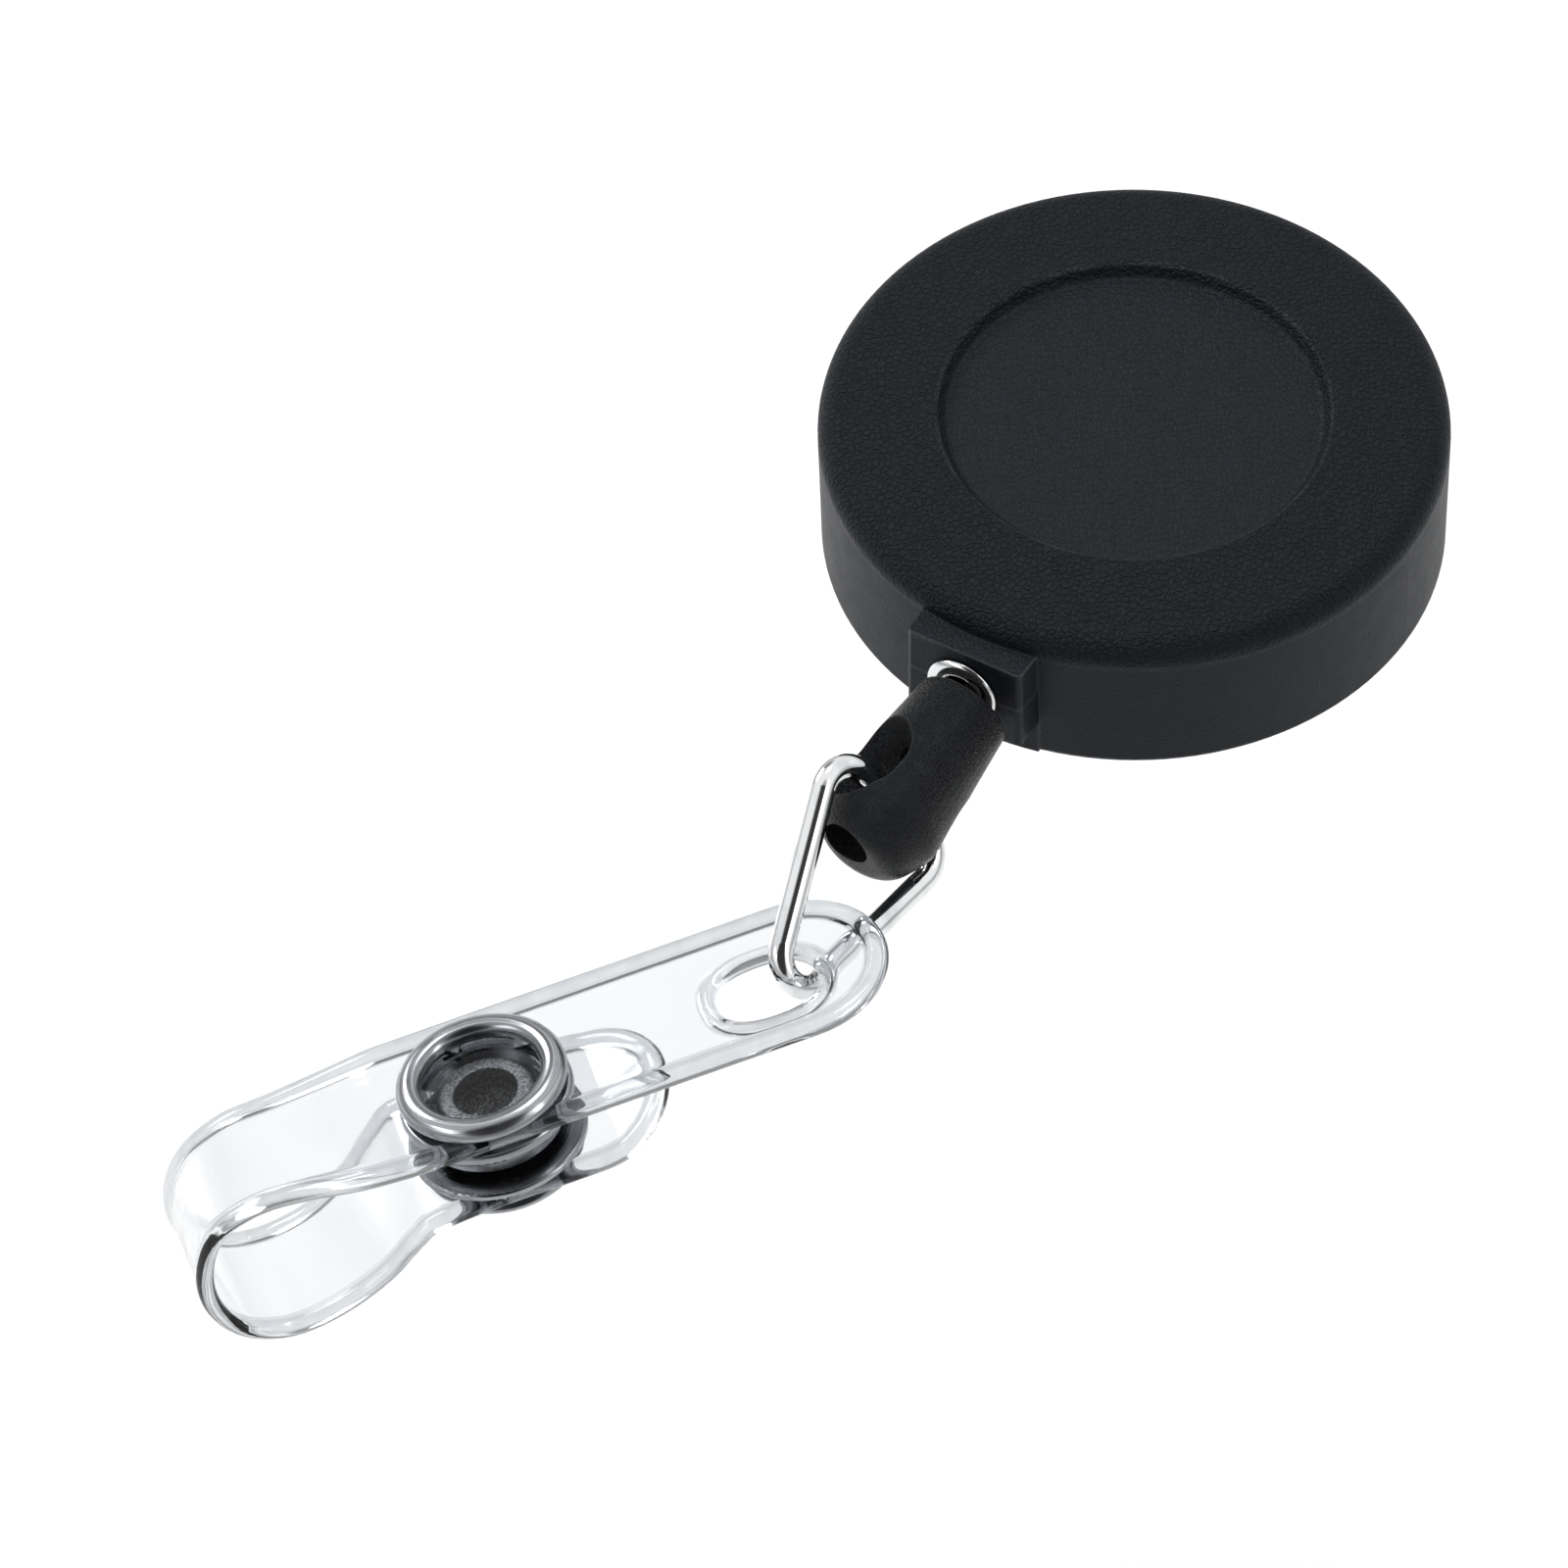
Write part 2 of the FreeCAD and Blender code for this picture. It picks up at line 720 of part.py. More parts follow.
def snap_bottom_ring():
    base = -layer_spacing - strap_thickness / 2
    blades = prongs(base - 0.3, base + strap_thickness + 0.3)
    ring = snap_ring(base, -1, bottom_ring_outer, bottom_ring_height)
    return ring.fuse(blades.Solids).removeSplitter(), strap_place


# ================================================================ write the parts
def main():
    os.makedirs("parts", exist_ok=True)
    plain = [
        front_cover, rear_cover, spool, cord_winding, mainspring, spring_cover, spool_washer,
        clip_rivet, swivel_washer, rivet_washer, belt_clip, cord_lead,
    ]
    placed = [
        outlet_eyelet, cord_knot, end_barrel, wire_ring, strap_upper, strap_bend, strap_tail,
        snap_top_ring, snap_socket, socket_spring, snap_stud, snap_bottom_ring,
    ]
    for make in plain:
        save(make(), make.__name__)
    for make in placed:
        shape, placement = make()
        save(shape, make.__name__, placement)
    print("winding radius", round(winding_radius(), 2))
    print("ring pivot", ring_start, "ring apex", ring_apex)
    print("snap centre", strap_place.multVec(Vector(0, snap_offset, 0)))


main()
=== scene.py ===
"""Looks for a retractable badge reel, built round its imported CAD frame.

Blender works in metres. The small pieces are drawn in millimetres in their own local frames,
which are worked out from the record's joints, and MM turns them into metres.
"""
import json
import math

import bmesh
import bpy
from mathutils import Matrix, Vector


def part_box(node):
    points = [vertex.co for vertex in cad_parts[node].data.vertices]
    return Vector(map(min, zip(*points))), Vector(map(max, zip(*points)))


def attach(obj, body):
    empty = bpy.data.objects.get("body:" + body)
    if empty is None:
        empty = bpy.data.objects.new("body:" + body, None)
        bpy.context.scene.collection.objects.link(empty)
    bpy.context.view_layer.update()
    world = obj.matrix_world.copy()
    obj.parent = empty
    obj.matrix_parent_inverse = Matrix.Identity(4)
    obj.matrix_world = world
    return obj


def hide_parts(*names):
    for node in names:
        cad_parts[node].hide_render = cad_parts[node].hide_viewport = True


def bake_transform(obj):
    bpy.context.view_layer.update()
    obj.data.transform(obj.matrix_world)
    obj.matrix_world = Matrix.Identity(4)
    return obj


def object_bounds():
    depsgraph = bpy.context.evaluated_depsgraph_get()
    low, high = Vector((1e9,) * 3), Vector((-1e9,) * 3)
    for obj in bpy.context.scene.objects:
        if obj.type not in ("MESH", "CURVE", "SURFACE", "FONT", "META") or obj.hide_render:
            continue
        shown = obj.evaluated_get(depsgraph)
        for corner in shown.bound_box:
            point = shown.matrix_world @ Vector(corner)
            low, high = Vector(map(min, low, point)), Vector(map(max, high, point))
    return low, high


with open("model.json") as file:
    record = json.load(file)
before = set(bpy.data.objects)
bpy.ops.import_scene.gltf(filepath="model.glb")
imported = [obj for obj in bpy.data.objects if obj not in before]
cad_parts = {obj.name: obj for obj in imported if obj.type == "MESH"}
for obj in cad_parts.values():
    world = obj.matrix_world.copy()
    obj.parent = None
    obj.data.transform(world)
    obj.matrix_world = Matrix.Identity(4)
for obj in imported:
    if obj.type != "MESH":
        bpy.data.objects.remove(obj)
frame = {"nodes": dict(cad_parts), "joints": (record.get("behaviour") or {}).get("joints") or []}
cad_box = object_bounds()

MM = 0.001
nodes = frame["nodes"]
joints = {joint["name"]: joint for joint in frame["joints"]}

# ================================================================ sizes, in millimetres
# strap: x runs along it from the snap, towards the loop; heights are from the upper layer's mid-plane
strap_half = 4.85                        # half the strap's width
strap_tip_x = -21.5
loop_start_x = 4.8
layer_spacing = 3.9
tail_tip_x = -9.1
tail_knee_x = -5.7                       # the lower layer starts to lift here
tail_slope = 0.27
apex_on_strap = (-16.3, 0.4, -0.2)       # where the ring's apex crosses the strap
# the loop's near and far edges as (x, height), from the upper layer round to the lower one
near_loop = [
    (4.8, 0.0), (7.4, 0.3), (10.2, 0.95), (12.9, 1.15), (15.2, 0.25), (16.35, -1.9), (16.4, -4.3),
    (15.25, -6.4), (13.0, -7.45), (10.2, -7.15), (7.6, -6.1), (6.1, -5.0), (4.8, -4.1),
]
far_loop = [
    (4.8, 0.0), (7.4, -0.35), (10.2, -0.7), (12.9, -0.95), (15.1, -2.2), (16.3, -4.3), (16.35, -6.5),
    (15.2, -8.3), (13.0, -9.05), (10.2, -8.65), (7.7, -7.2), (6.1, -5.5), (4.8, -4.15),
]

# the sheet's section: its bead and the slot's rim are (distance in from the edge, half thickness)
web_half = 0.33                          # half the sheet's thickness between its beads
bead_half = 0.475
bead_steps = [(0.0, 0.0), (0.03, 0.14), (0.1, 0.27), (0.22, 0.38), (0.38, 0.45), (0.6, bead_half),
              (0.8, 0.455), (0.95, 0.4), (1.05, 0.35), (1.15, web_half)]
rim_steps = [(0.0, 0.0), (0.02, 0.16), (0.08, 0.33), (0.2, 0.45), (0.32, 0.5), (0.45, 0.5),
             (0.56, 0.44), (0.63, 0.37), (0.7, web_half)]

# slot: a rounded oblong
slot_x = -15.0
slot_offset = 0.75
slot_half_length = 2.65
slot_half_width = 2.15
slot_power = 2.35                        # 2 would make it an ellipse, and more makes it squarer
slot_block_end = 11.2                    # the ring of faces round the slot ends here

# how finely the sheet is cut
loop_steps = 72
across_steps = 24
arc_steps = 28
slot_columns = 8
plain_columns = 110
slot_rings = 4

# cord
cord_radius = 0.4
cord_sides = 16
plait_strands = 4
plait_depth = 0.07                       # as a share of the cord's radius
plait_twist = 0.9                        # radians from one cut of the cord to the next

# snap
snap_offset = 0.6                        # the snap sits this far towards the strap's near edge
prong_count = 5
first_prong_angle = math.radians(-3.6)   # round the snap, from the strap's long direction
prong_root_radius = 3.3
prong_point_radius = 2.45
prong_half_width = 0.62
prong_thickness = 0.42
prong_point_rise = 0.28

# stage
floor_gap = 60.0                         # clears the swung strap; a cord pulled right out goes lower
floor_reach = 1.5                        # metres
camera_distance = 3.0                    # metres
frame_width = 0.0790                     # metres across the picture, at the object
aim_right = -17.65
aim_up = -18.42
azimuth = math.radians(30)
elevation = math.asin(0.75)


# ================================================================ local frames
class LocalFrame:
    """A frame with its own origin and axes; calling it turns millimetres into a point."""

    def __init__(self, origin, along, across, up):
        self.origin = Vector(origin)
        self.along = Vector(along).normalized()
        self.across = Vector(across).normalized()
        self.up = Vector(up).normalized()

    def __call__(self, x, y=0.0, z=0.0):
        return self.origin + (self.along * x + self.across * y + self.up * z) * MM


def joint_axis(name):
    return Vector(joints[name]["axis"]).normalized()


def joint_point(name):
    return Vector(joints[name]["pos_m"])


def strap_frame():
    """x along the strap, y across it and z up from the upper layer's mid-plane; the snap is at x = 0."""
    up = joint_axis("strap_swing")
    across = -joint_axis("tail_open")
    along = across.cross(up)
    x, y, z = (value * MM for value in apex_on_strap)
    origin = joint_point("strap_swing") - along * x - across * y - up * z
    return LocalFrame(origin, along, across, up)


def snap_frame():
    """The strap's frame, moved to the snap's centre on the strap's mid-plane."""
    return LocalFrame(on_strap(0, snap_offset), on_strap.along, on_strap.across, on_strap.up)


on_strap = strap_frame()
on_snap = snap_frame()


# ================================================================ mesh helpers
def mesh_piece(name, vertices, faces, material, values=None):
    """A smooth-shaded mesh object with outward normals; values holds numbers for each vertex."""
    mesh = bpy.data.meshes.new(name)
    mesh.from_pydata([tuple(v) for v in vertices], [], faces)
    for label, numbers in (values or {}).items():
        mesh.attributes.new(label, "FLOAT", "POINT").data.foreach_set("value", numbers)
    shape = bmesh.new()
    shape.from_mesh(mesh)
    bmesh.ops.remove_doubles(shape, verts=shape.verts, dist=1e-7)
    bmesh.ops.recalc_face_normals(shape, faces=shape.faces)
    shape.to_mesh(mesh)
    shape.free()
    mesh.polygons.foreach_set("use_smooth", [True] * len(mesh.polygons))
    mesh.materials.append(material)
    piece = bpy.data.objects.new(name, mesh)
    bpy.context.scene.collection.objects.link(piece)
    return piece


def spline(points, count):
    """A smooth curve through 2-D points, cut into equal steps of its length."""
    dense = []
    steps = 24
    padded = [points[0] * 2 - points[1], *points, points[-1] * 2 - points[-2]]
    for i in range(len(points) - 1):
        p0, p1, p2, p3 = padded[i:i + 4]
        for j in range(steps):
            t = j / steps
            dense.append(0.5 * (2 * p1 + (p2 - p0) * t + (2 * p0 - 5 * p1 + 4 * p2 - p3) * t ** 2
                                + (3 * p1 - p0 - 3 * p2 + p3) * t ** 3))
    dense.append(points[-1])
    travelled = [0.0]
    for a, b in zip(dense, dense[1:]):
        travelled.append(travelled[-1] + (b - a).length)
    result = []
    at = 0
    for i in range(count + 1):
        target = travelled[-1] * i / count
        while at < len(dense) - 2 and travelled[at + 1] < target:
            at += 1
        step = travelled[at + 1] - travelled[at]
        result.append(dense[at].lerp(dense[at + 1], min(1.0, (target - travelled[at]) / step)))
    return result


# ================================================================ clear strap
near_curve = spline([Vector(point) for point in near_loop], loop_steps)
far_curve = spline([Vector(point) for point in far_loop], loop_steps)
loop_length = sum((b - a).length for a, b in zip(near_curve, near_curve[1:]))
loop_from = loop_start_x - strap_tip_x
loop_to = loop_from + loop_length
strip_length = loop_to + loop_start_x - tail_tip_x


def strip_centre(s, side):
    """Where the strip's mid-plane is, s millimetres from its tip, on its near or far edge."""
    if s <= loop_from:
        return Vector((strap_tip_x + s, 0.0))
    if s >= loop_to:
        x = loop_start_x - (s - loop_to)
        lift = max(0.0, tail_knee_x - x) * tail_slope
        settle = max(0.0, 1 - (s - loop_to) / 3.0) ** 2
        return Vector((x, -layer_spacing + lift - 0.25 * settle))
    curve = near_curve if side > 0 else far_curve
    place = (s - loop_from) / loop_length * loop_steps
    i = min(int(place), loop_steps - 1)
    return curve[i].lerp(curve[i + 1], place - i)


def strip_point(s, w):
    """The mid-plane s millimetres from the tip and w millimetres off the centre line."""
    share = (w / strap_half + 1) / 2
    at = strip_centre(s, -1).lerp(strip_centre(s, 1), share)
    return Vector((at.x, w, at.y))


def strip_vertex(s, w, height):
    """A point height millimetres off the strip's mid-plane, in the row frame."""
    step = 0.35
    ahead = strip_point(s + step, w) - strip_point(s - step, w)
    aside = strip_point(s, w + step) - strip_point(s, w - step)
    normal = ahead.cross(aside).normalized()
    point = strip_point(s, w) + normal * height
    return on_strap(*point)


def strip_columns():
    """Places along the strip where a row of vertices crosses it, between the round ends."""
    first = strap_half
    last = strip_length - strap_half
    columns = [first + (slot_block_end - first) * i / slot_columns for i in range(slot_columns)]
    for i in range(plain_columns + 1):
        columns.append(slot_block_end + (last - slot_block_end) * i / plain_columns)
    return columns


def round_end(centre, inset, direction):
    """Half a circle round one end, from the + side to the - side, without its two ends."""
    radius = strap_half - inset
    points = []
    for i in range(1, arc_steps):
        angle = math.pi * i / arc_steps
        points.append((centre + direction * radius * math.sin(angle), radius * math.cos(angle)))
    return points


def strip_outline(inset):
    """The strip's whole outline, moved in by inset."""
    columns = strip_columns()
    side = strap_half - inset
    tail = round_end(columns[-1], inset, 1)
    tip = round_end(columns[0], inset, -1)
    return ([(s, side) for s in columns] + tail + [(s, -side) for s in reversed(columns)]
            + list(reversed(tip)))


def slot_outline(directions, grow):
    """Points on the slot's oval, grown outwards, one for each direction from its centre."""
    half_length = slot_half_length + grow
    half_width = slot_half_width + grow
    points = []
    for angle in directions:
        reach = (abs(math.cos(angle) / half_length) ** slot_power
                 + abs(math.sin(angle) / half_width) ** slot_power) ** (-1 / slot_power)
        points.append((slot_x - strap_tip_x + reach * math.cos(angle),
                       slot_offset + reach * math.sin(angle)))
    return points


class SheetMesh:
    """Collects faces given as (s, w, height) corners, sharing corners that are the same."""

    def __init__(self):
        self.index = {}
        self.places = []
        self.faces = []

    def corner(self, s, w, height):
        key = (round(s, 4), round(w, 4), round(height, 4))
        if key not in self.index:
            self.index[key] = len(self.places)
            self.places.append((s, w, height))
        return self.index[key]

    def face(self, corners):
        ids = []
        for corner in corners:
            i = self.corner(*corner)
            if i not in ids:
                ids.append(i)
        if len(ids) > 2:
            self.faces.append(ids)

    def band(self, low, high, low_height, high_height, closed=True):
        """Faces between two rows of points, on both faces of the sheet."""
        for sign in (1, -1):
            for i in range(len(low) if closed else len(low) - 1):
                j = (i + 1) % len(low)
                self.face([(*low[i], sign * low_height), (*low[j], sign * low_height),
                           (*high[j], sign * high_height), (*high[i], sign * high_height)])


def across_row(s, half_width):
    """Evenly spaced points straight across the strip."""
    return [(s, -half_width + 2 * half_width * i / across_steps) for i in range(across_steps + 1)]


def strap_sheet():
    """The whole strip laid flat: its beaded edge, its plain web, and the faces round the slot."""
    sheet = SheetMesh()
    for (inset, height), (next_inset, next_height) in zip(bead_steps, bead_steps[1:]):
        sheet.band(strip_outline(inset), strip_outline(next_inset), height, next_height)
    inner_inset = bead_steps[-1][0]
    inner_half = strap_half - inner_inset
    columns = strip_columns()
    plain = [across_row(s, inner_half) for s in columns if s >= slot_block_end]
    tail = round_end(columns[-1], inner_inset, 1)
    plain += [across_row(s, w) for s, w in tail[:arc_steps // 2] if w > 1e-6]
    plain.append([tail[arc_steps // 2 - 1]] * (across_steps + 1))
    for row, next_row in zip(plain, plain[1:]):
        sheet.band(row, next_row, web_half, web_half, closed=False)
    add_slot_faces(sheet, inner_inset, plain[0])
    return sheet


def add_slot_faces(sheet, inner_inset, closing_row):
    """A ring of faces from the tip's outline in to the slot's rim, then the rim itself."""
    columns = [s for s in strip_columns() if s < slot_block_end]
    side = strap_half - inner_inset
    tip = round_end(columns[0], inner_inset, -1)
    outer = [(s, side) for s in reversed(columns)] + tip + [(s, -side) for s in columns] + closing_row
    centre_s = slot_x - strap_tip_x
    directions = [math.atan2(w - slot_offset, s - centre_s) for s, w in outer]
    rim_edge = slot_outline(directions, rim_steps[-1][0])
    rows = []
    for i in range(slot_rings + 1):
        share = i / slot_rings
        rows.append([(a[0] + (b[0] - a[0]) * share, a[1] + (b[1] - a[1]) * share)
                     for a, b in zip(outer, rim_edge)])
    for row, next_row in zip(rows, rows[1:]):
        sheet.band(row, next_row, web_half, web_half)
    for (grow, height), (next_grow, next_height) in zip(rim_steps, rim_steps[1:]):
        sheet.band(slot_outline(directions, grow), slot_outline(directions, next_grow),
                   height, next_height)


def from_outline(s, w):
    """How far a point is from the strip's outline, in millimetres."""
    beyond = max(strap_half - s, s - (strip_length - strap_half), 0.0)
    return strap_half - math.hypot(beyond, w)


def from_slot(s, w):
    """How far a point is outside the slot's oval, roughly, in millimetres."""
    x = abs(s - (slot_x - strap_tip_x))
    y = abs(w - slot_offset)
    total = (x / slot_half_length) ** slot_power + (y / slot_half_width) ** slot_power
    share = total ** (1 / slot_power)
    return (share - 1) * slot_half_width


def soft_share(value):
    """Eases from 0 to 1 with no sudden start or stop."""
    value = min(1.0, max(0.0, value))
    return value * value * (3 - 2 * value)


def clear_strap(material):
    """The clear strap as one mesh in place of the CAD strap pieces; the tail's share of each vertex,
    which grows along the loop, is worked out and then removed, so nothing bends the loop.
    """
    sheet = strap_sheet()
    values = {
        # from_outline and from_slot place the vinyl's painted edge shade bands
        "from_outline": [from_outline(s, w) for s, w, height in sheet.places],
        "from_slot": [from_slot(s, w) for s, w, height in sheet.places],
        "tail_share": [soft_share((s - loop_from) / loop_length) for s, w, height in sheet.places],
    }
    piece = mesh_piece("clear_strap", [strip_vertex(*place) for place in sheet.places],
                       sheet.faces, material, values)
    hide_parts("strap_upper", "strap_bend", "strap_tail")
    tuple(on_strap(12.8, 0, -0.8))
    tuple(on_strap(12.8, 0, -3.3))
    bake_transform(piece)
    piece.data.attributes.remove(piece.data.attributes["tail_share"])
    return piece


# ================================================================ cord
def cord_route():
    """From the winding, round the outlet's inner edge and out to the knot in the barrel."""
    lead_low, lead_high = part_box("cord_lead")
    knot = joint_point("barrel_swivel")
    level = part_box("outlet_eyelet")[0].z + 2.0 * MM
    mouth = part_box("outlet_eyelet")[0].y
    leaves = Vector((lead_high.x - 0.3 * MM, lead_high.y - 0.4 * MM, level))
    turn = Vector((0.12 * MM, mouth + 4.3 * MM, level))
    straight = Vector((0.4 * MM, mouth + 0.6 * MM, level))
    return [leaves, leaves.lerp(turn, 0.5), leaves.lerp(turn, 0.9), turn.lerp(straight, 0.12),
            turn.lerp(straight, 0.5), straight, straight.lerp(knot, 0.5), knot]


def cord_piece(material):
    """Plaited strands along the route."""
    route = cord_route()
    curve = bpy.data.curves.new("cord_path", "CURVE")
    curve.dimensions = "3D"
    curve.resolution_u = 24
    path = curve.splines.new("NURBS")
    path.points.add(len(route) - 1)
    for point, place in zip(path.points, route):
        point.co = (*place, 1)
    path.order_u = 3
    path.use_endpoint_u = True
    holder = bpy.data.objects.new("cord_path", curve)
    bpy.context.scene.collection.objects.link(holder)
    bpy.context.view_layer.update()
    line = bpy.data.meshes.new_from_object(holder)
    centres = [vertex.co.copy() for vertex in line.vertices]
    bpy.data.objects.remove(holder)
    bpy.data.meshes.remove(line)
    vertices = []
    faces = []
    for i, centre in enumerate(centres):
        ahead = (centres[min(i + 1, len(centres) - 1)] - centres[max(i - 1, 0)]).normalized()
        right = ahead.cross(Vector((0, 0, 1))).normalized()
        above = right.cross(ahead)
        for j in range(cord_sides):
            angle = 2 * math.pi * j / cord_sides
            plait = 1 + plait_depth * math.cos(plait_strands * angle + i * plait_twist)
            offset = right * math.cos(angle) + above * math.sin(angle)
            vertices.append(centre + offset * cord_radius * plait * MM)
    for i in range(len(centres) - 1):
        here = i * cord_sides
        following = (i + 1) * cord_sides
        for j in range(cord_sides):
            k = (j + 1) % cord_sides
            faces.append([here + j, here + k, following + k, following + j])
    faces.append(list(range(cord_sides)))
    faces.append([(len(centres) - 1) * cord_sides + j for j in range(cord_sides)])
    piece = mesh_piece("cord", vertices, faces, material)
    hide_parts("cord_lead")
    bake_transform(piece)
    return piece


# ================================================================ snap ring
def turned(name, local, profile, material, segments=96):
    """A ring turned about a local frame's up axis from (radius, height) points."""
    vertices = []
    faces = []
    count = len(profile)
    for i in range(segments):
        angle = 2 * math.pi * i / segments
        for radius, height in profile:
            vertices.append(local(radius * math.cos(angle), radius * math.sin(angle), height))
    for i in range(segments):
        following = (i + 1) % segments
        for j in range(count):
            k = (j + 1) % count
            faces.append([i * count + j, following * count + j, following * count + k, i * count + k])
    return mesh_piece(name, vertices, faces, material)


def snap_prong_tips(material):
    """Small pointed tips that lean in over the strap from the ring's inner wall."""
    low = web_half
    high = web_half + prong_thickness
    corners = [
        (prong_root_radius, prong_half_width, low), (prong_root_radius, -prong_half_width, low),
        (prong_point_radius, 0.0, low + prong_point_rise),
        (prong_root_radius, prong_half_width, high), (prong_root_radius, -prong_half_width, high),
        (prong_point_radius - 0.03, 0.0, high),
    ]
    vertices = []
    faces = []
    for i in range(prong_count):
        angle = first_prong_angle + 2 * math.pi * i / prong_count
        out = Vector((math.cos(angle), math.sin(angle)))
        aside = Vector((-out.y, out.x))
        first = len(vertices)
        for radius, shift, height in corners:
            place = out * radius + aside * shift
            vertices.append(on_snap(place.x, place.y, height))
        for face in ((0, 1, 2), (5, 4, 3), (0, 2, 5, 3), (1, 4, 5, 2), (0, 3, 4, 1)):
            faces.append([first + corner for corner in face])
    piece = mesh_piece("snap_prong_tips", vertices, faces, material)
    piece.data.polygons.foreach_set("use_smooth", [False] * len(piece.data.polygons))
    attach(piece, "strap")
    return piece


def snap_top_ring(material):
    """Rolled ring that stands on the strap's upper face."""
    top = bead_half
    profile = [
        (3.12, top), (3.08, top + 0.15), (3.1, top + 0.5), (3.2, top + 0.68), (3.4, top + 0.82),
        (3.65, top + 0.88), (3.85, top + 0.86), (4.08, top + 0.76), (4.28, top + 0.58),
        (4.4, top + 0.36), (4.43, top + 0.18), (4.36, top + 0.04), (4.2, top),
    ]
    piece = turned("snap_ring_rolled", on_snap, profile, material)
    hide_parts("snap_top_ring")
    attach(piece, "strap")
    return piece


# ================================================================ eyelet
def rolled_eyelet(material):
    """The eyelet's lip is rolled round; the tube runs back into the outlet."""
    low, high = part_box("outlet_eyelet")
    front = Vector(((low.x + high.x) / 2, low.y, (low.z + high.z) / 2))
    outlet = LocalFrame(front, (1, 0, 0), (0, 0, 1), (0, -1, 0))
    lip = (high.x - low.x) / 2 / MM
    back = (low.y - high.y) / MM
    profile = [
        (0.95, back), (0.95, -0.42), (1.0, -0.24), (1.12, -0.1), (1.3, -0.02), (1.5, 0.0),
        (lip - 0.33, -0.03), (lip - 0.14, -0.11), (lip - 0.03, -0.22), (lip, -0.32),
        (lip - 0.04, -0.43), (1.4, -0.45), (1.4, back),
    ]
    piece = turned("rolled_eyelet", outlet, profile, material)
    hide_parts("outlet_eyelet")
    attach(piece, "housing")
    return piece


# ================================================================ materials
class Material:
    """A principled material with a few helpers for its node tree."""

    def __init__(self, name, roughness=0.5, metallic=0.0):
        self.material = bpy.data.materials.new(name)
        self.material.use_nodes = True
        self.tree = self.material.node_tree
        self.shader = self.tree.nodes["Principled BSDF"]
        self.shader.inputs["Roughness"].default_value = roughness
        self.shader.inputs["Metallic"].default_value = metallic
        self.place = self.tree.nodes.new("ShaderNodeTexCoord").outputs["Object"]

    def node(self, kind, inputs=None, **settings):
        made = self.tree.nodes.new(kind)
        for name, value in settings.items():
            setattr(made, name, value)
        for name, value in (inputs or {}).items():
            if isinstance(value, bpy.types.NodeSocket):
                self.tree.links.new(value, made.inputs[name])
            else:
                made.inputs[name].default_value = value
        return made

    def noise(self, size, detail=3.0, stretch=(1, 1, 1)):
        """Soft noise whose features are about size millimetres."""
        spread = self.node("ShaderNodeMapping", {"Vector": self.place, "Scale": stretch})
        return self.node("ShaderNodeTexNoise", {"Vector": spread.outputs[0], "Scale": 1 / (size * MM),
                                                "Detail": detail}).outputs["Fac"]

    def cells(self, size):
        """Leathery cells about size millimetres across; 0 at their borders."""
        warp = self.node("ShaderNodeTexNoise", {"Vector": self.place, "Scale": 0.6 / (size * MM)})
        bent = self.node("ShaderNodeVectorMath", {0: warp.outputs["Color"], 1: (0.5 * size * MM,) * 3},
                         operation="MULTIPLY")
        moved = self.node("ShaderNodeVectorMath", {0: self.place, 1: bent.outputs[0]}, operation="ADD")
        cell = self.node("ShaderNodeTexVoronoi", {"Vector": moved.outputs[0], "Scale": 1 / (size * MM)},
                         feature="DISTANCE_TO_EDGE")
        return self.remap(cell.outputs["Distance"], 0.0, 0.18, 0.0, 1.0)

    def remap(self, value, from_low, from_high, to_low, to_high):
        return self.node("ShaderNodeMapRange", {"Value": value, "From Min": from_low,
                                                "From Max": from_high, "To Min": to_low,
                                                "To Max": to_high}).outputs["Result"]

    def attribute(self, name):
        return self.node("ShaderNodeAttribute", attribute_name=name).outputs["Fac"]

    def peak(self, value, centre, half_width):
        """1 where value is at centre, falling to 0 at half_width either side."""
        away = self.math("ABSOLUTE", self.math("SUBTRACT", value, centre))
        return self.remap(away, 0.0, half_width, 1.0, 0.0)

    def math(self, operation, first, second=0.0):
        return self.node("ShaderNodeMath", {0: first, 1: second}, operation=operation).outputs[0]

    def blend(self, factor, first, second):
        mix = self.node("ShaderNodeMix", {"Factor": factor}, data_type="RGBA")
        for socket, value in ((mix.inputs[6], first), (mix.inputs[7], second)):
            if isinstance(value, bpy.types.NodeSocket):
                self.tree.links.new(value, socket)
            else:
                socket.default_value = (*value, 1)
        return mix.outputs[2]

    def bump(self, height, depth, strength):
        """Raised detail, depth millimetres from its lowest to its highest."""
        inputs = {"Height": height, "Distance": depth * MM, "Strength": strength}
        return self.node("ShaderNodeBump", inputs).outputs["Normal"]

    def sharp_edge_mask(self, radius):
        """1 on edges sharper than radius millimetres, 0 on plain faces."""
        soft = self.node("ShaderNodeBevel", {"Radius": radius * MM}, samples=4).outputs["Normal"]
        plain = self.node("ShaderNodeNewGeometry").outputs["Normal"]
        alike = self.node("ShaderNodeVectorMath", {0: soft, 1: plain}, operation="DOT_PRODUCT")
        return self.remap(alike.outputs["Value"], 0.99, 0.85, 0.0, 1.0)

    def separate(self):
        """The place's X, Y and Z, in metres."""
        return self.node("ShaderNodeSeparateXYZ", {"Vector": self.place}).outputs

    def from_axis(self, origin, axis):
        """Distance from an axis, in millimetres."""
        away = self.node("ShaderNodeVectorMath", {0: self.place, 1: origin}, operation="SUBTRACT")
        across = self.node("ShaderNodeVectorMath", {0: away.outputs[0], 1: axis},
                           operation="CROSS_PRODUCT")
        length = self.node("ShaderNodeVectorMath", {0: across.outputs[0]}, operation="LENGTH")
        return self.math("MULTIPLY", length.outputs["Value"], 1 / MM)

